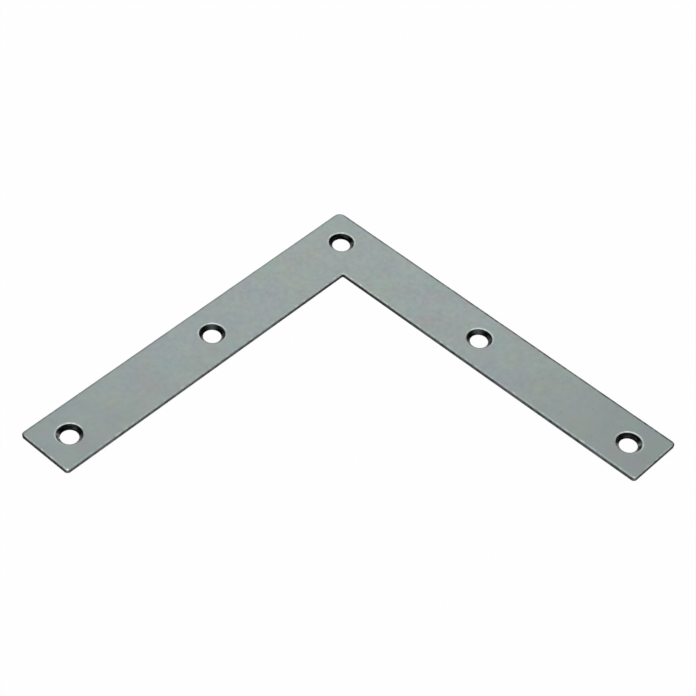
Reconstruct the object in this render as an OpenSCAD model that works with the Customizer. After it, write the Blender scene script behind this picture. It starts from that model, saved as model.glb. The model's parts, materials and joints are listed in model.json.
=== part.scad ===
/* [Plate] */
// Length of each leg, from the outer corner to the leg's end
leg_length = 102; // [60:1:150]
// Width of each leg
leg_width = 15; // [11:0.5:30]
// Thickness of the sheet
sheet_thickness = 1.1; // [0.8:0.1:3]

/* [Corners] */
// Radius of the outer corner, where the two legs meet
outer_corner_radius = 1.8; // [0.6:0.1:3]
// Radius of the four corners at the legs' ends
end_corner_radius = 0.9; // [0.5:0.1:3]
// Radius of the inner corner, between the two legs
inner_corner_radius = 0.3; // [0.3:0.1:3]

/* [Screw holes] */
// Diameter of the straight part of each screw hole
hole_diameter = 4.2; // [3.6:0.1:5]
// Diameter of the countersink at its mouth, inside the burnished rim
countersink_diameter = 6; // [5.4:0.1:7.5]
// Full angle of the countersink's cone
countersink_angle = 90; // [82:1:120]
// Width of the burnished rim round each countersink
rim_width = 0.35; // [0.1:0.05:0.5]
// Depth of the burnished rim at the countersink's mouth
rim_depth = 0.08; // [0.04:0.02:0.2]
// Distance of the middle hole from the outer edge of the other leg
middle_hole_distance = 50.8; // [25:0.1:80]
// Distance of the last hole from the leg's end
end_hole_margin = 7.5; // [5:0.1:20]

/* [Sheared edges] */
// How far the rolled edge reaches in over the front face
roll_width = 0.4; // [0.15:0.05:0.45]
// How far the rolled edge reaches down the side
roll_depth = 0.28; // [0.1:0.02:0.4]
// Radius of the rolled edge's curve
roll_radius = 0.45; // [0.4:0.05:1.5]

/* [Hidden] */
zinc = [0.60, 0.64, 0.63];
// Smoothness of the corners, the rolled edges and the holes
round_steps = 72;
// How far a cutting shape stands out of the metal that it cuts
cut_overlap = 0.2;
// The hole line runs down the middle of each leg, so the corner hole is on both lines
hole_line = leg_width / 2;
last_hole_distance = leg_length - end_hole_margin;
hole_radius = hole_diameter / 2;
countersink_radius = countersink_diameter / 2;
cone_depth = (countersink_radius - hole_radius) / tan(countersink_angle / 2);
// The curve of the rolled edge passes through the ends of its chord, inside the metal
roll_chord = sqrt(roll_width * roll_width + roll_depth * roll_depth);
roll_rise = sqrt(max(0, roll_radius * roll_radius - roll_chord * roll_chord / 4));
roll_center = [
    roll_width / 2 + roll_rise * roll_depth / roll_chord,
    -roll_depth / 2 - roll_rise * roll_width / roll_chord
];

// The waste between a square corner at the origin and its rounding
module corner_waste(radius) {
    difference() {
        square(radius);
        translate([radius, radius]) circle(r = radius, $fn = round_steps);
    }
}

// Flat outline of the brace, with the outer corner at the origin
module brace_outline() {
    difference() {
        union() {
            square([leg_length, leg_width]);
            square([leg_width, leg_length]);
            translate([leg_width, leg_width]) corner_waste(inner_corner_radius);
        }
        corner_waste(outer_corner_radius);
        both_legs() {
            translate([leg_length, 0]) rotate(90) corner_waste(end_corner_radius);
            translate([leg_length, leg_width]) rotate(180) corner_waste(end_corner_radius);
        }
    }
}

// Its children on one leg, and mirrored about the diagonal on the other
module both_legs() {
    children();
    mirror([1, -1, 0]) children();
}

// Section of the metal that the rolled edge lacks: x runs in from the side, y up from the front face
module roll_section() {
    difference() {
        translate([-cut_overlap, -roll_depth])
            square([cut_overlap + roll_width, roll_depth + cut_overlap]);
        translate(roll_center) circle(r = roll_radius, $fn = round_steps);
    }
}

// Rolled edge along a straight side that runs along +X, with the metal on its +Y side
module straight_roll(run_length) {
    rotate([90, 0, 90]) linear_extrude(run_length) roll_section();
}

// Rolled edge round a quarter of an outward corner, centred on the corner's own centre
module outward_corner_roll(radius) {
    rotate_extrude(angle = 90, $fn = round_steps)
        translate([radius, 0]) mirror([1, 0]) roll_section();
}

// Rolled edge round a quarter of the inner corner, with the metal outside the quarter
module inward_corner_roll(radius) {
    rotate_extrude(angle = 90, $fn = round_steps)
        translate([radius, 0]) roll_section();
}

// Rolled edges of one leg and its two end corners
module leg_rolls() {
    outer_run = leg_length - outer_corner_radius - end_corner_radius;
    end_run = leg_width - 2 * end_corner_radius;
    inner_run = leg_length - end_corner_radius - leg_width - inner_corner_radius;
    far_centre = leg_length - end_corner_radius;
    translate([outer_corner_radius, 0]) straight_roll(outer_run);
    translate([leg_length, end_corner_radius]) rotate(90) straight_roll(end_run);
    translate([far_centre, leg_width]) rotate(180) straight_roll(inner_run);
    translate([far_centre, end_corner_radius]) rotate(270) outward_corner_roll(end_corner_radius);
    translate([far_centre, leg_width - end_corner_radius]) outward_corner_roll(end_corner_radius);
}

// Everything that the rolled edge takes off round the front face
module rolled_edges() {
    inner_centre = leg_width + inner_corner_radius;
    translate([0, 0, sheet_thickness]) {
        both_legs() leg_rolls();
        translate([outer_corner_radius, outer_corner_radius])
            rotate(180) outward_corner_roll(outer_corner_radius);
        translate([inner_centre, inner_centre])
            rotate(180) inward_corner_roll(inner_corner_radius);
    }
}

// One screw hole on the origin's axis: straight wall, cone and burnished rim
module screw_hole() {
    rim_bottom = sheet_thickness - rim_depth;
    rim_radius = countersink_radius + rim_width;
    rotate_extrude($fn = round_steps)
        polygon([
            [0, -cut_overlap],
            [hole_radius, -cut_overlap],
            [hole_radius, rim_bottom - cone_depth],
            [countersink_radius, rim_bottom],
            [rim_radius, sheet_thickness],
            [rim_radius, sheet_thickness + cut_overlap],
            [0, sheet_thickness + cut_overlap]
        ]);
}

// The corner hole, and the middle and last hole of each leg
module screw_holes() {
    translate([hole_line, hole_line]) screw_hole();
    both_legs() {
        for (distance = [middle_hole_distance, last_hole_distance])
            translate([distance, hole_line]) screw_hole();
    }
}

// The whole brace, with the corner hole's axis on the origin and the back face on z = 0
module corner_brace() {
    color(zinc)
        translate([-hole_line, -hole_line])
            difference() {
                linear_extrude(sheet_thickness) brace_outline();
                rolled_edges();
                screw_holes();
            }
}

corner_brace();
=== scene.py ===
"""Looks of the flat corner brace: plated sheet, rolled edges and countersunk holes, on a plain floor."""

import json

import bmesh
import bpy
import numpy as np
from mathutils import Matrix, Vector


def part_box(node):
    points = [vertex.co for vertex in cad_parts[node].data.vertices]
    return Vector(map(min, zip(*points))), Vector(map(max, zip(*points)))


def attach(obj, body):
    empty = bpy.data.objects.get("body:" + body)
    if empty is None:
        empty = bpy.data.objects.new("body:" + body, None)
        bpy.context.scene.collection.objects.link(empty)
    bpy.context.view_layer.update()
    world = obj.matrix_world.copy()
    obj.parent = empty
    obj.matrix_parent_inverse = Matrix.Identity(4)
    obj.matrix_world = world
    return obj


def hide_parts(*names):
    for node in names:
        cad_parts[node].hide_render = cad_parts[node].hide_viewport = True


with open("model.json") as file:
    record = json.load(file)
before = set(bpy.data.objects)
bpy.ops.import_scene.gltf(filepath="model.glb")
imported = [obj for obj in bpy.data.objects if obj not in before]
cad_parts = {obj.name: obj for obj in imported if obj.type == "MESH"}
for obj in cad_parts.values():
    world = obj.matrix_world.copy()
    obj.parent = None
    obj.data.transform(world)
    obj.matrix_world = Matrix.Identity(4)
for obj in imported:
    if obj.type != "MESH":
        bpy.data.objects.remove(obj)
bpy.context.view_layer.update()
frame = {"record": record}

MM = 0.001
NODE = "corner_brace"
SLOT = "zinc_plate"

# Sizes from the frame. The hole line is the middle of each leg and passes through the origin.
plate_low, plate_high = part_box(NODE)
THICKNESS = plate_high.z
HALF_WIDTH = -plate_low.x
LEG_END = plate_high.x
BORES = [mount for mount in frame["record"]["mounts"] if mount["kind"] == "bore"]
HOLE_RADIUS = BORES[0]["dims"]["r_mm"] * MM
ALONG_X = sorted(mount["pos_m"][0] for mount in BORES if mount["pos_m"][1] == 0)
CORNER_HOLE, MIDDLE_HOLE, END_HOLE = ALONG_X

# The outline's corners
OUTER_CORNER = 1.8 * MM
END_CORNER = 0.9 * MM
INNER_CORNER = 0.3 * MM

# Spacing of the mesh along the outline and across a leg, and its steps round a quarter of a small corner
STEP = 0.5 * MM
CROSS_STEPS = round(2 * HALF_WIDTH / STEP)
CORNER_STEPS = 10

# The sheared edge, from the front face over the rolled lip and down to the broken edge at the back
FACE_INSET = 0.72 * MM
ROLL_WIDTH = 0.46 * MM
ROLL_DEPTH = 0.28 * MM
ROLL_POWER = 1.5
LIP_STEPS = 15
TEAR_DEPTH = 0.035 * MM
BACK_BREAK = 0.09 * MM
BACK_INSET = 0.16 * MM

# Tilts of the lip, in degrees, at which the dark torn-metal colour begins and is full. That colour is torn
# metal darkened far past its own tone by painted shade on the steep parts of the edge
SHADE_TILT_FROM = 44
SHADE_TILT_TO = 66
# How many degrees sooner that painted shade sets in across the ends
END_SHADE_TILT = 14
# How much of the torn band's painted shade is lifted by a painted highlight on the inner sides, at most
INNER_BAND_HIGHLIGHT = 0.26
# Painted highlight on the inner lip: how bright it is by the corner and from the middle hole on
LIP_HIGHLIGHT = 1.0
LIP_HIGHLIGHT_END = 0.58
# How much dimmer that painted highlight is by the last hole, and how much brighter across the end itself
LIP_HIGHLIGHT_DIMMED_TIP = 0.25
LIP_HIGHLIGHT_TIP = 0.28
# How much painted shade darkens the lip on the outer side of each leg, on average
FIRST_OUTER_SHADE = 0.15
OTHER_OUTER_SHADE = 0.54
# The corner between the end and the inner side gets a painted glint within this reach, and less of the
# torn band's painted shade
NOSE_GLINT = 2.2
NOSE_BAND_HIGHLIGHT = 0.42
NOSE_LIGHT_TILT = 16
NOSE_REACH = 0.4 * MM
# The corner between the end and the outer side has the torn band's painted shade further up
HEEL_SHADE_TILT = 28
HEEL_REACH = 1.0 * MM

# The countersink, the rounded rim at its mouth and the hole's widening towards the back face
MOUTH_RADIUS = 3.0 * MM
RIM_WIDTH = 0.35 * MM
RIM_DEPTH = 0.08 * MM
RIM_LANDING = 0.15 * MM
RIM_OUTSIDE = MOUTH_RADIUS + RIM_WIDTH + RIM_LANDING
RIM_STEPS = 8
CONE_STEPS = 10
FOOT_WIDENING = np.array([0, 0, 0.02, 0.08]) * MM
# Painted highlight on the rim: the way it is brightest, and the least share of that all round
RIM_HIGHLIGHT_TURN = np.radians(225)
RIM_HIGHLIGHT_LEAST = 0.2
# How far round to either side of that the cone's two painted glints are, and how narrow
GLINT_TURN = np.radians(94)
GLINT_POWER = 36
# How bright they are at the cone's mouth and at its foot, as a share of each glint's own brightness
GLINT_AT_MOUTH = 0.45
GLINT_AT_FOOT = 1.15
# How much painted reflection lightens the cone's far side, where a hole has any, and how narrow that is
FAR_REFLECTION_SHARE = 0.26
FAR_REFLECTION_POWER = 14

# A grid's columns for each point: x, y and z, then its shares of the sheared edge's dark colour (torn metal
# with painted shade), of the countersink's painted shade, and of painted highlight
SHEAR_AND_SHADE = 3
BORE_SHADE = 4
PAINTED_SHEEN = 5
COLUMNS = 6
# Points closer than the first are merged where grids meet, and edges shorter than the second are dropped
MERGE_WITHIN = 0.0005 * MM
DROP_BELOW = 0.0002 * MM

# The leg's stations along x: the corner's end, the two holes' squares, and where the end corners start
CORNER_END = HALF_WIDTH + INNER_CORNER
MIDDLE_START = MIDDLE_HOLE - HALF_WIDTH
MIDDLE_END = MIDDLE_HOLE + HALF_WIDTH
TIP_START = END_HOLE - HALF_WIDTH
TIP_SIDE = LEG_END - END_CORNER
STATIONS = [CORNER_END, MIDDLE_START, MIDDLE_END, TIP_START, TIP_SIDE]

# Where the outer corner's rounding goes over into the straight side, in x as in y
CORNER_START = -HALF_WIDTH + OUTER_CORNER
# The middles of the end's two rounded corners, on the inner side and on the outer side
CORNER_CUT = END_CORNER * (1 - np.sqrt(0.5))
NOSE = np.array((LEG_END - CORNER_CUT, HALF_WIDTH - CORNER_CUT))
HEEL = np.array((LEG_END - CORNER_CUT, -HALF_WIDTH + CORNER_CUT))


def wander(points, waves, seed):
    """Smooth value from about -1 to 1 at each flat point: 1.6 times the mean of five sines.

    Each sine runs along a slanting line of its own, in waves about 1/waves metres long. The larger coordinate
    counts as x and the smaller as y, so the two legs wander alike and meet at the corners.
    """
    draw = np.random.default_rng(seed)
    count = 5
    turn = draw.uniform(0, 2 * np.pi, count)
    length = waves * draw.uniform(0.6, 1.7, count)
    phase = draw.uniform(0, 2 * np.pi, count)
    x = points.max(axis=-1, keepdims=True)
    y = points.min(axis=-1, keepdims=True)
    slant = x * np.cos(turn) + y * np.sin(turn)
    return np.sin(2 * np.pi * length * slant + phase).sum(axis=-1) / count * 1.6


def ease(low, high, value):
    """Smooth step: 0 up to low, 1 from high, and t t (3 - 2 t) between them."""
    t = np.clip((value - low) / (high - low), 0, 1)
    return t * t * (3 - 2 * t)


def near(points, spot, reach):
    """1 at a spot, falling off round it as a bell curve of the distance over reach, as one column."""
    return np.exp(-(np.hypot(*(points - spot).T) / reach) ** 2)[:, None]


def straight(start, end):
    """Points on a straight side of the outline and the direction into the metal there.

    A point is start + t (end - start), and the metal is to the left of the way.
    """
    start, end = np.array(start), np.array(end)
    way = end - start
    count = max(1, round(float(np.hypot(*way)) / STEP))
    t = np.linspace(0, 1, count + 1)[:, None]
    into = np.array([-way[1], way[0]]) / np.hypot(*way)
    return start + t * way, np.repeat(into[None], count + 1, axis=0)


def rounded(centre, radius, first, last, steps):
    """Points on a rounded corner and the direction into the metal there.

    A point is centre + radius (cos a, sin a), with a from first to last in degrees. The metal is inside
    the circle where a grows, and outside it where a falls.
    """
    a = np.radians(np.linspace(first, last, steps + 1))[:, None]
    ray = np.hstack([np.cos(a), np.sin(a)])
    into = -ray if last > first else ray
    return np.array(centre) + radius * ray, into


def swapped(grid):
    """The same grid on the other leg: x and y change places, and the rows run the other way.

    Only the first leg's corner carries the painted white glint, so the painted sheen is held to 1 here.
    """
    other = grid[::-1].copy()
    other[..., [0, 1]] = other[..., [1, 0]]
    other[..., PAINTED_SHEEN] = np.minimum(other[..., PAINTED_SHEEN], 1)
    return other


def at_inset(side, inset):
    """A side's points moved into the metal by inset."""
    points, into = side
    return points + inset * into


def lifted(points, height):
    """Flat points at one height, with no sheared-edge shade, countersink shade or painted highlight."""
    flat = np.zeros(points.shape[:-1] + (COLUMNS,))
    flat[..., :2] = points
    flat[..., 2] = height
    return flat


def edge_section(points):
    """The sheared edge's section at each of a side's points: inset and height, and the tilt in degrees.

    With u from 0 at the face to 1 at the side, the rolled lip is inset = width (1 - u), height = thickness -
    depth (1 - square root of (1 - u to the power 1.5)), so it leaves the face gently and ends upright. The
    steps of u are closer towards the side. Below the lip come the torn band, which leans in, and the broken
    edge at the back. The lip's width and depth and the torn band's lean wander a little along the outline.
    """
    ones = np.ones(len(points))[:, None]
    lip = 1 + 0.14 * wander(points, 420, 3) + 0.06 * wander(points, 1300, 4)
    drop = 1 + 0.12 * wander(points, 350, 5)
    tear = 1 + 0.5 * wander(points, 1500, 6)
    u = 1 - (1 - np.linspace(0, 1, LIP_STEPS)) ** 1.5
    left = np.maximum(1 - u ** ROLL_POWER, 1e-6)
    slope = ROLL_DEPTH / ROLL_WIDTH * ROLL_POWER / 2 * u ** (ROLL_POWER - 1) / np.sqrt(left)
    inset = np.hstack([
        FACE_INSET * ones,
        lip[:, None] * ROLL_WIDTH * (1 - u),
        tear[:, None] * TEAR_DEPTH * np.array([0, 0.25, 0.8, 1]),
        (TEAR_DEPTH + BACK_BREAK * 0.3) * ones,
        BACK_BREAK * ones,
        BACK_INSET * ones,
    ])
    height = np.hstack([
        THICKNESS * ones,
        THICKNESS - drop[:, None] * ROLL_DEPTH * (1 - np.sqrt(left)),
        ones * THICKNESS * np.array([0.6, 0.5, 0.3, 0.12]),
        BACK_BREAK * 0.25 * ones,
        0 * ones,
        0 * ones,
    ])
    below_lip = inset.shape[1] - 1 - LIP_STEPS
    tilt = np.degrees(np.hstack([0, np.arctan(slope), np.full(below_lip, np.pi / 2)]))
    return inset, height, tilt


def edge_strip(side, outer_shading):
    """The sheared edge along one side of the outline: the edge section carried along the side's points.

    A point is the side's point + inset times the direction into the metal, at the section's height. The dark
    torn-metal colour, torn metal darkened by painted shade, sets in where the lip has tilted far enough, on a
    ragged line that is further up across the ends, and furthest at their outer corners. On the inner sides a
    painted highlight lifts it in places. The lip has a painted highlight on the inner sides and the ends, and
    a painted glint at the corner between them. On the outer sides it is darkened by patchy painted shade, by
    the given share, a little more so away from the corner, and that fades in on the face.
    """
    points, into = side
    inset, height, tilt = edge_section(points)
    outer = np.clip((1 + into.sum(axis=1)) / 2, 0, 1)[:, None]
    away = ease(CORNER_END, MIDDLE_HOLE, points[:, 0])[:, None]
    tip_near = ease(TIP_START, END_HOLE, points[:, 0])[:, None]
    end = ease(TIP_SIDE, LEG_END, points[:, 0])[:, None]
    nose = near(points, NOSE, NOSE_REACH)
    heel = near(points, HEEL, HEEL_REACH)

    # The dark torn-metal colour goes where the lip tilts steeply. It is painted shade, set further up across
    # the ends and at the outer corner, and less of it at the nose
    ragged = (6 * wander(points, 500, 7) + 4 * wander(points, 1000, 8))[:, None]
    raised = END_SHADE_TILT * end + HEEL_SHADE_TILT * heel * end ** 5 - NOSE_LIGHT_TILT * nose
    torn = ease(SHADE_TILT_FROM, SHADE_TILT_TO, tilt + ragged + raised)
    # Painted shade on the outer lips, patchy, and a little more away from the corner
    patchy = 1 + 0.45 * wander(points, 500, 9) + 0.25 * wander(points, 950, 10)
    outer_shade = outer * outer_shading * (0.75 + 0.35 * away) * np.clip(patchy, 0, 1.6)[:, None]
    past_face = np.arange(len(tilt)) > 0
    shear = np.maximum(torn, outer_shade * past_face)
    # A painted highlight lifts the band's painted shade in places on the inner sides, and at the nose
    band_highlight = INNER_BAND_HIGHLIGHT * np.clip(0.6 + 0.5 * wander(points, 350, 13), 0, 1)[:, None]
    shear *= 1 - band_highlight * (1 - outer) * away * (1 - end)
    shear *= 1 - NOSE_BAND_HIGHLIGHT * nose
    shear[:, -2:] = 0

    # Painted highlight on the inner lips and the ends, patchy, with a painted glint at the nose
    sheen_patches = 0.55 + 0.4 * wander(points, 600, 11) + 0.4 * wander(points, 1900, 12)
    fade = LIP_HIGHLIGHT + (LIP_HIGHLIGHT_END - LIP_HIGHLIGHT) * away - LIP_HIGHLIGHT_DIMMED_TIP * tip_near * (1 - end)
    fade += LIP_HIGHLIGHT_TIP * end
    bright = np.maximum(fade * np.clip(sheen_patches, 0.05, 1)[:, None], NOSE_GLINT * nose ** 2)

    strip = np.zeros(inset.shape + (COLUMNS,))
    strip[..., :2] = points[:, None] + inset[..., None] * into[:, None]
    strip[..., 2] = height
    strip[..., SHEAR_AND_SHADE] = shear
    strip[..., PAINTED_SHEEN] = bright * (1 - outer) * ease(2, 8, tilt) * (1 - torn)
    return strip


def hole_wall(x, turns, far_reflection, glints):
    """The wall of one screw hole: a section turned about the hole's axis, at the angles in turns.

    With v from 0 at the rim's outer edge to 1 at the mouth, the rim drops by depth v (0.7 + 0.3 v),
    so it dips ever more steeply. Then come the cone at 45 degrees, the short straight wall and the broken
    edge at the back. The rim's painted highlight falls off as the cosine of the turn from where it is
    brightest.
    The cone and the straight wall carry the countersink's painted shade. The third argument is how much
    painted reflection lightens the cone's far side, as a high power of that cosine. The fourth is how bright
    the cone's two painted glints are, ahead of the brightest way and behind it, each as a high power of the
    cosine of the turn from the glint.
    """
    rim_foot = THICKNESS - RIM_DEPTH
    cone_foot = rim_foot - (MOUTH_RADIUS - HOLE_RADIUS)
    v = np.linspace(0, 1, RIM_STEPS)
    t = np.linspace(0.05, 0.97, CONE_STEPS)
    radius = np.hstack([
        RIM_OUTSIDE,
        MOUTH_RADIUS + RIM_WIDTH * (1 - v),
        MOUTH_RADIUS + (HOLE_RADIUS - MOUTH_RADIUS) * t,
        HOLE_RADIUS + FOOT_WIDENING,
    ])
    height = np.hstack([
        THICKNESS,
        THICKNESS - RIM_DEPTH * v * (0.7 + 0.3 * v),
        rim_foot + (cone_foot - rim_foot) * t,
        [cone_foot - 0.01 * MM, 0.02 * MM, 0, 0],
    ])
    # Where the rim's painted highlight goes
    on_rim = np.hstack([0, 0.4, np.ones(RIM_STEPS - 2), 0.5, np.zeros(CONE_STEPS + len(FOOT_WIDENING))])
    # Where the countersink's painted shade goes: the cone and the straight wall
    bore_shaded = np.hstack([np.zeros(RIM_STEPS), 0.5, np.ones(CONE_STEPS), 1, 1, 0.5, 0])
    before_cone = np.zeros(1 + RIM_STEPS)
    after_cone = np.zeros(len(FOOT_WIDENING))
    on_cone = np.hstack([before_cone, np.ones(CONE_STEPS), after_cone])
    brightening = np.hstack([before_cone, np.linspace(GLINT_AT_MOUTH, GLINT_AT_FOOT, CONE_STEPS), after_cone])

    ahead, behind = glints
    # The rim's painted highlight by turn, the cone's two painted glints, and the painted reflection on its
    # far side
    lean = RIM_HIGHLIGHT_LEAST + (1 - RIM_HIGHLIGHT_LEAST) * (1 + np.cos(turns - RIM_HIGHLIGHT_TURN)) / 2
    side_glint = ahead * np.maximum(np.cos(turns - RIM_HIGHLIGHT_TURN - GLINT_TURN), 0) ** GLINT_POWER
    side_glint += behind * np.maximum(np.cos(turns - RIM_HIGHLIGHT_TURN + GLINT_TURN), 0) ** GLINT_POWER
    far_reflection_by_turn = FAR_REFLECTION_SHARE * np.maximum(np.cos(turns - RIM_HIGHLIGHT_TURN), 0) ** FAR_REFLECTION_POWER
    glinted = side_glint[:, None] * brightening
    far_reflected = far_reflection * far_reflection_by_turn[:, None] * on_cone

    wall = np.zeros((len(turns), len(radius), COLUMNS))
    wall[..., 0] = x + np.cos(turns)[:, None] * radius
    wall[..., 1] = np.sin(turns)[:, None] * radius
    wall[..., 2] = height
    wall[..., BORE_SHADE] = bore_shaded * (1 - np.clip(np.maximum(glinted, far_reflected), 0, 1))
    wall[..., PAINTED_SHEEN] = on_rim * lean[:, None] + glinted
    return wall


def ring_face(loop, centre, turns, radius, height):
    """Flat face between a round hole and a closed loop about it.

    A point is (1 - t) circle + t loop, with t from 0 to 1 in steps that grow outwards.
    """
    t = (np.linspace(0, 1, 10) ** 1.4)[None, :, None]
    circle = np.array(centre) + radius * np.stack([np.cos(turns), np.sin(turns)], axis=-1)
    return lifted((1 - t) * circle[:, None] + t * loop[:, None], height)


def leg_face(outer, inner, height):
    """Flat face of a leg between two cross lines: (1 - t) outer side + t inner side, with t from 0 to 1."""
    t = np.linspace(0, 1, CROSS_STEPS + 1)[None, :, None]
    return lifted((1 - t) * outer[:, None] + t * inner[:, None], height)


def cross_line(x, inset):
    """Points across the leg at x, from the outer side's inset to the inner side's."""
    y = np.linspace(-HALF_WIDTH + inset, HALF_WIDTH - inset, CROSS_STEPS + 1)
    return np.stack([np.full_like(y, x), y], axis=-1)


def leg_side(x_from, x_to, y):
    """One straight stretch of the leg's outer or inner side."""
    return straight((x_from, y), (x_to, y))


def build_brace():
    """Every surface of the brace as grids of points, each with its place, edge shade, bore shade and painted
    sheen.
    """
    low, high = -HALF_WIDTH, HALF_WIDTH
    outer = [leg_side(a, b, low) for a, b in zip(STATIONS, STATIONS[1:])]
    inner = [leg_side(b, a, high) for a, b in zip(STATIONS, STATIONS[1:])]
    tip = [
        rounded((TIP_SIDE, low + END_CORNER), END_CORNER, -90, 0, CORNER_STEPS),
        straight((LEG_END, low + END_CORNER), (LEG_END, high - END_CORNER)),
        rounded((TIP_SIDE, high - END_CORNER), END_CORNER, 0, 90, CORNER_STEPS),
    ]
    corner_side = leg_side(CORNER_START, CORNER_END, low)
    outer_corner = rounded((CORNER_START, CORNER_START), OUTER_CORNER, 180, 270, 2 * CORNER_STEPS)
    inner_corner = rounded((CORNER_END, CORNER_END), INNER_CORNER, 270, 180, CORNER_STEPS)

    sides = outer + tip + inner + [corner_side]
    first_leg = [edge_strip(side, FIRST_OUTER_SHADE) for side in sides]
    other_leg = [edge_strip(side, OTHER_OUTER_SHADE) for side in sides]
    once = [edge_strip(corner, FIRST_OUTER_SHADE) for corner in (outer_corner, inner_corner)]
    on_both_legs = []

    # The holes' points are set on the front face, and the back face takes them over
    hole_turns = {}
    faces = (
        (FACE_INSET, RIM_OUTSIDE, THICKNESS),
        (BACK_INSET, HOLE_RADIUS + FOOT_WIDENING[-1], 0),
    )
    for inset, mouth, height in faces:
        out = [at_inset(side, inset) for side in outer]
        back = [at_inset(side, inset) for side in inner]
        middle_loop = np.vstack([
            out[1],
            cross_line(MIDDLE_END, inset),
            back[1],
            cross_line(MIDDLE_START, inset)[::-1],
        ])
        tip_loop = np.vstack([
            out[3],
            *[at_inset(side, inset) for side in tip],
            back[3],
            cross_line(TIP_START, inset)[::-1],
        ])
        lower_side = at_inset(corner_side, inset)
        corner_loop = np.vstack([
            lower_side,
            cross_line(CORNER_END, inset),
            at_inset(inner_corner, inset),
            cross_line(CORNER_END, inset)[::-1, ::-1],
            lower_side[::-1, ::-1],
            at_inset(outer_corner, inset),
        ])
        for name, x, loop in (
            ("corner", CORNER_HOLE, corner_loop),
            ("middle", MIDDLE_HOLE, middle_loop),
            ("tip", END_HOLE, tip_loop),
        ):
            if name not in hole_turns:
                hole_turns[name] = np.arctan2(loop[:, 1], loop[:, 0] - x)
            ring = ring_face(loop, (x, 0), hole_turns[name], mouth, height)
            (once if name == "corner" else on_both_legs).append(ring)
        on_both_legs.append(leg_face(out[0], back[0][::-1], height))
        on_both_legs.append(leg_face(out[2], back[2][::-1], height))

    # Each hole's painted reflection on the cone's far side and its two painted glints, set apart for each
    # hole
    once.append(hole_wall(CORNER_HOLE, hole_turns["corner"], far_reflection=0.0, glints=(0.0, 0.8)))
    first_leg.append(hole_wall(MIDDLE_HOLE, hole_turns["middle"], far_reflection=1.0, glints=(0.0, 0.45)))
    first_leg.append(hole_wall(END_HOLE, hole_turns["tip"], far_reflection=0.1, glints=(1.9, 0.5)))
    other_leg.append(hole_wall(MIDDLE_HOLE, hole_turns["middle"], far_reflection=1.0, glints=(0.5, 0.0)))
    other_leg.append(hole_wall(END_HOLE, hole_turns["tip"], far_reflection=0.1, glints=(1.0, 0.45)))
    return once + first_leg + on_both_legs + [swapped(grid) for grid in other_leg + on_both_legs]


def mesh_from_grids(name, grids):
    """One closed mesh: every grid's cells as quads, merged where grids meet, with faces pointing outwards."""
    rows, quads, start = [], [], 0
    for grid in grids:
        m, n = grid.shape[:2]
        index = start + np.arange(m * n).reshape(m, n)
        corners = [index[:-1, :-1], index[:-1, 1:], index[1:, 1:], index[1:, :-1]]
        quads.append(np.stack(corners, axis=-1).reshape(-1, 4))
        rows.append(grid.reshape(-1, COLUMNS))
        start += m * n
    rows, quads = np.vstack(rows), np.vstack(quads)
    mesh = bpy.data.meshes.new(name)
    mesh.from_pydata(rows[:, :3].tolist(), [], quads.tolist())
    for kind, column in (("shear", SHEAR_AND_SHADE), ("bore", BORE_SHADE), ("polish", PAINTED_SHEEN)):
        attribute = mesh.attributes.new(kind, "FLOAT", "POINT")
        attribute.data.foreach_set("value", rows[:, column].astype(np.float32))
    joined = bmesh.new()
    joined.from_mesh(mesh)
    bmesh.ops.remove_doubles(joined, verts=joined.verts, dist=MERGE_WITHIN)
    bmesh.ops.dissolve_degenerate(joined, edges=joined.edges, dist=DROP_BELOW)
    bmesh.ops.recalc_face_normals(joined, faces=joined.faces)
    joined.to_mesh(mesh)
    joined.free()
    mesh.shade_smooth()
    return mesh


def new_material(name):
    """A material with an empty node tree, and that tree."""
    material = bpy.data.materials.new(name)
    material.use_nodes = True
    material.node_tree.nodes.clear()
    return material, material.node_tree


def plug(tree, socket, value):
    """Fills a socket with a plain value, or links another node's output to it."""
    if isinstance(value, bpy.types.NodeSocket):
        tree.links.new(value, socket)
    else:
        socket.default_value = value


def add_node(tree, kind, inputs=None, **settings):
    """One shader node with its settings, and what goes into its sockets by their names or numbers."""
    made = tree.nodes.new(kind)
    for name, value in settings.items():
        setattr(made, name, value)
    for name, value in (inputs or {}).items():
        plug(tree, made.inputs[name], value)
    return made


def maths(tree, operation, first, second):
    """One sum on two values."""
    return add_node(tree, "ShaderNodeMath", {0: first, 1: second}, operation=operation).outputs[0]


def spread(tree, value, low, high, to_low, to_high, smooth=True):
    """value's range from low to high carried over to to_low and to_high, and held at both ends."""
    kind = "SMOOTHSTEP" if smooth else "LINEAR"
    sockets = {"Value": value, "From Min": low, "From Max": high, "To Min": to_low, "To Max": to_high}
    return add_node(tree, "ShaderNodeMapRange", sockets, interpolation_type=kind).outputs["Result"]


def mixed(tree, data_type, factor, first, second, blend_type="MIX"):
    """first and second mixed by factor, as two colours or two values."""
    made = add_node(tree, "ShaderNodeMix", data_type=data_type, blend_type=blend_type)
    sockets = [socket for socket in made.inputs if socket.enabled]
    for socket, value in zip(sockets, (factor, first, second)):
        plug(tree, socket, value)
    return next(socket for socket in made.outputs if socket.enabled)


def laid_over(tree, under, over, noise, low, high, share=1.0):
    """The colour over laid on the colour under, by up to share where noise rises from low to high."""
    return mixed(tree, "RGBA", spread(tree, noise, low, high, 0.0, share), under, over)


def zone(tree, name):
    """One of the mesh's zones, from 0 to 1 or a little more."""
    return add_node(tree, "ShaderNodeAttribute", attribute_name=name).outputs["Fac"]


def pattern(tree, place, per_mm, detail, roughness):
    """Noise whose patches are about 1 / per_mm millimetres across."""
    sockets = {"Vector": place, "Scale": per_mm / MM, "Detail": detail, "Roughness": roughness}
    return add_node(tree, "ShaderNodeTexNoise", sockets).outputs


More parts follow.
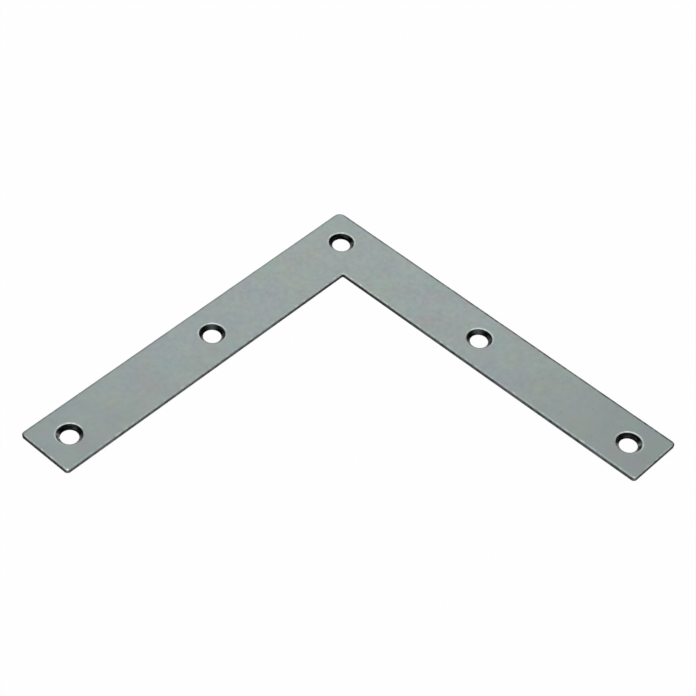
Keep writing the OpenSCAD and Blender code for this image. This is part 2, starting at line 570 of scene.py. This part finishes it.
def stretched(tree, place, turn, scale):
    """Object coordinates turned about Z and stretched, for grain and scratches."""
    sockets = {"Vector": place, "Rotation": (0, 0, turn), "Scale": scale}
    return add_node(tree, "ShaderNodeMapping", sockets).outputs[0]


def bump(tree, height, strength, depth, **under):
    """The normal of a surface that height makes uneven by up to depth, on top of another one's Normal."""
    sockets = {"Height": height, "Strength": strength, "Distance": depth, **under}
    return add_node(tree, "ShaderNodeBump", sockets).outputs[0]


# Colours of the zinc plate and its marks, then of the painted highlight and the painted white glint
ZINC = (0.326, 0.372, 0.361, 1)
GRAIN = (0.30, 0.34, 0.34, 1)
SPECK = (0.2, 0.22, 0.22, 1)
SCRATCH = (0.7, 0.74, 0.74, 1)
HIGHLIGHT_METAL = (0.62, 0.68, 0.67, 1)
GLINT_WHITE = (0.95, 0.98, 0.97, 1)
# Colours of the countersinks' painted shade, with painted reflection streaks and glare, and of the torn
# metal, darkened by painted shade
BORE_SHADE_DARK = (0.003, 0.004, 0.004, 1)
BORE_SHADE_STREAK = (0.048, 0.051, 0.050, 1)
BORE_GLARE = (0.13, 0.142, 0.14, 1)
TORN_SHADE_DARK = (0.006, 0.007, 0.007, 1)
TORN_SHADE_PALE = (0.032, 0.036, 0.035, 1)


def zinc_and_painted_light():
    """Satin zinc plate on the whole brace, with painted light.

    It has soft tinted patches, a faint grain, small specks and scratches, painted highlights on the lips and
    rims and painted glints, countersinks made near black by painted shade with painted reflection streaks,
    and torn metal on the sheared sides, darkened far past its own duller tone by painted shade.
    """
    material, tree = new_material(SLOT)
    place = add_node(tree, "ShaderNodeTexCoord").outputs["Object"]
    # The mesh's zones of painted light: the sheared edge's painted shade, the countersinks' painted shade and
    # the painted sheen
    shear, bore, polish = zone(tree, "shear"), zone(tree, "bore"), zone(tree, "polish")

    grain_place = stretched(tree, place, np.radians(-38.6), (0.12, 1, 1))
    scratch_place = stretched(tree, place, np.radians(15), (0.05, 1, 1))
    side_place = stretched(tree, place, 0, (1, 1, 0.15))
    ring_place = stretched(tree, place, 0, (1, 1, 7))

    clouds = pattern(tree, place, 0.18, 2.0, 0.5)
    patches = pattern(tree, place, 0.75, 2.0, 0.5)
    grain = pattern(tree, grain_place, 3.0, 3.0, 0.6)["Fac"]
    specks = pattern(tree, place, 1.7, 1.0, 0.4)["Fac"]
    scratches = pattern(tree, scratch_place, 4.0, 1.0, 0.4)["Fac"]
    streaks = pattern(tree, side_place, 3.0, 3.0, 0.6)["Fac"]
    # Rings round the hole, for the countersinks' painted reflection streaks
    reflection_rings = pattern(tree, ring_place, 0.6, 3.0, 0.6)["Fac"]
    # Breaks in the painted sheen
    sheen_breaks = pattern(tree, place, 1.1, 2.0, 0.6)["Fac"]
    # Patches of painted glare in the countersinks
    glare = pattern(tree, ring_place, 0.35, 1.0, 0.5)["Fac"]

    tinted = mixed(tree, "RGBA", 0.115, ZINC, clouds["Color"], "OVERLAY")
    tinted = mixed(tree, "RGBA", 0.02, tinted, patches["Color"], "OVERLAY")
    plated = laid_over(tree, tinted, GRAIN, grain, 0.3, 0.7, 0.07)
    plated = laid_over(tree, plated, SPECK, specks, 0.70, 0.76, 0.5)
    plated = laid_over(tree, plated, SCRATCH, scratches, 0.72, 0.80, 0.15)
    # Painted highlight on lips, rims and glints, broken by noise, and the painted white glint where the sheen
    # passes 1
    highlight_share = maths(tree, "MULTIPLY", polish, spread(tree, sheen_breaks, 0.36, 0.62, 0.35, 1.0))
    highlighted = mixed(tree, "RGBA", highlight_share, plated, HIGHLIGHT_METAL)
    highlighted = laid_over(tree, highlighted, GLINT_WHITE, polish, 1.0, 2.0)
    # The countersinks' colour: near black as painted shade, with painted reflection streaks and painted glare
    turned = laid_over(tree, BORE_SHADE_DARK, BORE_SHADE_STREAK, reflection_rings, 0.50, 0.70)
    turned = laid_over(tree, turned, BORE_GLARE, glare, 0.55, 0.75, 0.5)
    # Torn metal, near black: its own duller tone darkened far past that by painted shade, with paler streaks
    torn = laid_over(tree, TORN_SHADE_DARK, TORN_SHADE_PALE, streaks, 0.35, 0.7)
    base = mixed(tree, "RGBA", bore, highlighted, turned)
    base = mixed(tree, "RGBA", shear, base, torn)

    rough = spread(tree, patches["Fac"], 0.3, 0.7, 0.31, 0.40)
    rough = mixed(tree, "FLOAT", polish, rough, 0.24)
    rough = mixed(tree, "FLOAT", bore, rough, 0.33)
    rough = mixed(tree, "FLOAT", shear, rough, 0.55)

    grain_bump = bump(tree, grain, 0.12, 0.01 * MM)
    cloud_bump = bump(tree, clouds["Fac"], 0.10, 0.05 * MM, Normal=grain_bump)
    side_strength = maths(tree, "MULTIPLY", shear, 0.6)
    side_bump = bump(tree, streaks, side_strength, 0.06 * MM, Normal=cloud_bump)

    sockets = {"Base Color": base, "Metallic": 1.0, "Roughness": rough, "Normal": side_bump}
    shader = add_node(tree, "ShaderNodeBsdfPrincipled", sockets)
    add_node(tree, "ShaderNodeOutputMaterial", {"Surface": shader.outputs[0]})
    return material


def add_brace():
    """The whole brace as one closed mesh with its zinc plate and painted light, standing for the CAD node."""
    mesh = mesh_from_grids("brace_plate", build_brace())
    mesh.materials.append(zinc_and_painted_light())
    piece = bpy.data.objects.new("brace_plate", mesh)
    bpy.context.scene.collection.objects.link(piece)
    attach(piece, "root")
    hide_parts(NODE)


# The floor reaches far past the view. This share of its look is plain white, the rest takes light and shadow.
FLOOR_HALF = 3.0
FLOOR_WHITE = 0.97
FLOOR_GAP = 0.005 * MM
WHITE = (1, 1, 1, 1)


def add_floor():
    """A plain white floor just under the back face, which keeps a faint shadow of the brace."""
    half = FLOOR_HALF
    mesh = bpy.data.meshes.new("floor")
    corners = [(-half, -half, 0), (half, -half, 0), (half, half, 0), (-half, half, 0)]
    mesh.from_pydata(corners, [], [(0, 1, 2, 3)])
    material, tree = new_material("floor_white")
    paint = add_node(tree, "ShaderNodeBsdfDiffuse", {"Color": WHITE})
    glow = add_node(tree, "ShaderNodeEmission", {"Color": WHITE, "Strength": 1.0})
    ray = add_node(tree, "ShaderNodeLightPath").outputs
    seen = maths(tree, "MAXIMUM", ray["Is Camera Ray"], ray["Is Glossy Ray"])
    seen = maths(tree, "MAXIMUM", seen, ray["Is Transmission Ray"])
    share = maths(tree, "MULTIPLY", seen, FLOOR_WHITE)
    look = add_node(tree, "ShaderNodeMixShader", {0: share, 1: paint.outputs[0], 2: glow.outputs[0]})
    add_node(tree, "ShaderNodeOutputMaterial", {"Surface": look.outputs[0]})
    mesh.materials.append(material)
    floor = bpy.data.objects.new("floor", mesh)
    floor.location = (0, 0, -FLOOR_GAP)
    bpy.context.scene.collection.objects.link(floor)


def direction(azimuth, elevation):
    """Unit direction: azimuth turns from +X towards +Y, and elevation rises from the floor."""
    flat = np.cos(elevation)
    return Vector((np.cos(azimuth) * flat, np.sin(azimuth) * flat, np.sin(elevation)))


# The camera, found from the brace's edges and holes in the photo
CAMERA_AZIMUTH = np.radians(38.55)
CAMERA_ELEVATION = np.radians(46.70)
CAMERA_ROLL = np.radians(5.75)
CAMERA_DISTANCE = 517.2 * MM
CAMERA_TARGET = Vector((23.38, 23.84, 0)) * MM
CAMERA_LENS = 117.32
SENSOR_WIDTH = 36.0


def add_camera():
    """A long lens at the photo's angle, turned by the photo's roll."""
    data = bpy.data.cameras.new("camera")
    data.sensor_width = SENSOR_WIDTH
    data.lens = CAMERA_LENS
    data.clip_start = 0.01
    data.clip_end = 20
    camera = bpy.data.objects.new("camera", data)
    back = direction(CAMERA_AZIMUTH, CAMERA_ELEVATION)
    right = Vector((0, 0, 1)).cross(back).normalized()
    up = back.cross(right)
    c, s = np.cos(CAMERA_ROLL), np.sin(CAMERA_ROLL)
    axes = Matrix((right * c + up * s, up * c - right * s, back)).transposed().to_4x4()
    camera.matrix_world = Matrix.Translation(CAMERA_TARGET + back * CAMERA_DISTANCE) @ axes
    bpy.context.scene.collection.objects.link(camera)
    bpy.context.scene.camera = camera


# The walls' brightness low down and high up, and what the ceiling and the light from below the floor add
WALLS_LOW = 0.56
WALLS_HIGH = 0.62
CEILING = 0.54
BELOW = 0.4
# The walls are brightest square to this direction, and darkest where the cosine of the turn from it is this
FALL_WAY = direction(np.radians(129), 0)
FALL_REACH = 0.9
# The share of their brightness that they keep there, against the direction and along it
SHARE_AGAINST = 0.83
SHARE_ALONG = 0.86

# The soft panel behind the brace, which its face mirrors. Its level is its brightness, whatever its size.
PANEL_AZIMUTH = np.radians(224)
PANEL_ELEVATION = np.radians(44.3)
PANEL_DISTANCE = 380 * MM
PANEL_WIDTH = 314 * MM
PANEL_HEIGHT = 175 * MM
PANEL_LEVEL = 0.54


def add_room():
    """Soft studio light: a pale room that is a little darker low down, under a bright ceiling.

    The light from below the floor is only for the back face.
    """
    world = bpy.data.worlds.new("studio")
    bpy.context.scene.world = world
    world.use_nodes = True
    tree = world.node_tree
    tree.nodes.clear()
    way = add_node(tree, "ShaderNodeTexCoord").outputs["Generated"]
    rise = add_node(tree, "ShaderNodeSeparateXYZ", {0: way}).outputs["Z"]
    sockets = {0: way, 1: tuple(FALL_WAY)}
    across = add_node(tree, "ShaderNodeVectorMath", sockets, operation="DOT_PRODUCT").outputs["Value"]
    against = spread(tree, across, -FALL_REACH, 0.0, SHARE_AGAINST, 1.0, smooth=False)
    along = spread(tree, across, 0.0, FALL_REACH, 1.0, SHARE_ALONG, smooth=False)
    walls = spread(tree, rise, 0.05, 0.62, WALLS_LOW, WALLS_HIGH)
    walls = maths(tree, "MULTIPLY", walls, maths(tree, "MULTIPLY", against, along))
    ceiling = spread(tree, rise, 0.80, 0.895, 0.0, CEILING)
    below = spread(tree, rise, -0.3, -0.02, BELOW, 0.0)
    level = maths(tree, "ADD", walls, maths(tree, "ADD", ceiling, below))
    background = add_node(tree, "ShaderNodeBackground", {"Color": level, "Strength": 1.0})
    add_node(tree, "ShaderNodeOutputWorld", {"Surface": background.outputs[0]})


def add_panel():
    """The soft panel, square to the line from the origin."""
    data = bpy.data.lights.new("back_panel", "AREA")
    data.shape = "RECTANGLE"
    data.size = PANEL_WIDTH
    data.size_y = PANEL_HEIGHT
    data.energy = PANEL_LEVEL * np.pi * PANEL_WIDTH * PANEL_HEIGHT
    panel = bpy.data.objects.new("back_panel", data)
    way = direction(PANEL_AZIMUTH, PANEL_ELEVATION)
    axes = way.to_track_quat("Z", "Y").to_matrix().to_4x4()
    panel.matrix_world = Matrix.Translation(way * PANEL_DISTANCE) @ axes
    bpy.context.scene.collection.objects.link(panel)


bpy.context.scene.view_settings.view_transform = "Standard"
add_brace()
add_floor()
add_room()
add_panel()
add_camera()

bpy.context.view_layer.update()
